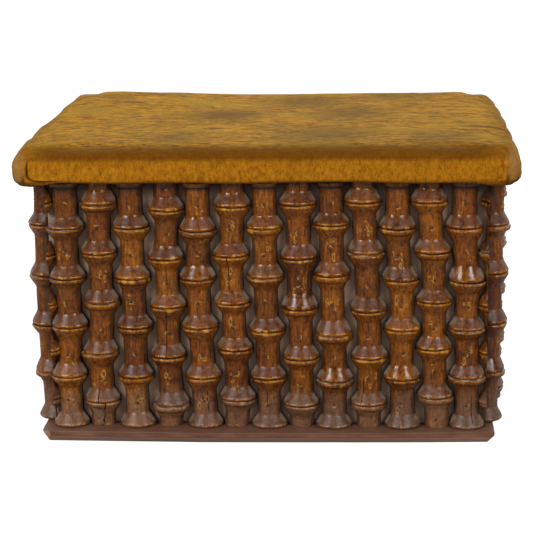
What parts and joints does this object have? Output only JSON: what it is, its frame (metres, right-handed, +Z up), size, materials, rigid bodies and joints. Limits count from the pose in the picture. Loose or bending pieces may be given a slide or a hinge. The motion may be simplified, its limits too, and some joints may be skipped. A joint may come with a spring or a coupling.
{
  "type": "spool ottoman",
  "caption": "Low box stool faced all round with columns of halved turned thread spools, with a padded velvet lid that lifts off and overhangs the box.",
  "frame": {"origin": "on the floor, under the middle of the base board", "axes": "+X to the right along the width, -Y to the front, +Z up"},
  "size_m": [0.4902, 0.3678, 0.3011],
  "materials": {
    "spool_wood": "brown varnish over turned birch, dusty in the hollows, worn golden on the rims",
    "panel_wood": "brown stain on sawn pine",
    "base_wood": "dull dark red-brown paint, worn along the lower arris",
    "velvet": "old gold cotton velvet, rubbed and stained on top",
    "padding": "cotton wadding",
    "lining": "black glazed cambric"
  },
  "bodies": {
    "box": {"base_board": "base_wood", "front_panel": "panel_wood", "back_panel": "panel_wood", "left_panel": "panel_wood", "right_panel": "panel_wood", "front_spools_01": "spool_wood", "front_spools_02": "spool_wood", "front_spools_03": "spool_wood", "front_spools_04": "spool_wood", "front_spools_05": "spool_wood", "front_spools_06": "spool_wood", "front_spools_07": "spool_wood", "front_spools_08": "spool_wood", "front_spools_09": "spool_wood", "front_spools_10": "spool_wood", "front_spools_11": "spool_wood", "front_spools_12": "spool_wood", "front_spools_13": "spool_wood", "back_spools_01": "spool_wood", "back_spools_02": "spool_wood", "back_spools_03": "spool_wood", "back_spools_04": "spool_wood", "back_spools_05": "spool_wood", "back_spools_06": "spool_wood", "back_spools_07": "spool_wood", "back_spools_08": "spool_wood", "back_spools_09": "spool_wood", "back_spools_10": "spool_wood", "back_spools_11": "spool_wood", "back_spools_12": "spool_wood", "back_spools_13": "spool_wood", "left_spools_01": "spool_wood", "left_spools_02": "spool_wood", "left_spools_03": "spool_wood", "left_spools_04": "spool_wood", "left_spools_05": "spool_wood", "left_spools_06": "spool_wood", "left_spools_07": "spool_wood", "left_spools_08": "spool_wood", "left_spools_09": "spool_wood", "right_spools_01": "spool_wood", "right_spools_02": "spool_wood", "right_spools_03": "spool_wood", "right_spools_04": "spool_wood", "right_spools_05": "spool_wood", "right_spools_06": "spool_wood", "right_spools_07": "spool_wood", "right_spools_08": "spool_wood", "right_spools_09": "spool_wood", "front_left_corner_strip": "spool_wood", "front_right_corner_strip": "spool_wood", "back_left_corner_strip": "spool_wood", "back_right_corner_strip": "spool_wood"},
    "lid": {"lid_board": "panel_wood", "lid_padding": "padding", "velvet_cover": "velvet", "lid_lining": "lining", "left_batten": "panel_wood", "right_batten": "panel_wood"}
  },
  "joints": [
    {"name": "lid_lift", "type": "slide", "parent": "box", "child": "lid", "axis": [0, 0, 1], "range_m": [0, 0.32]}
  ]
}
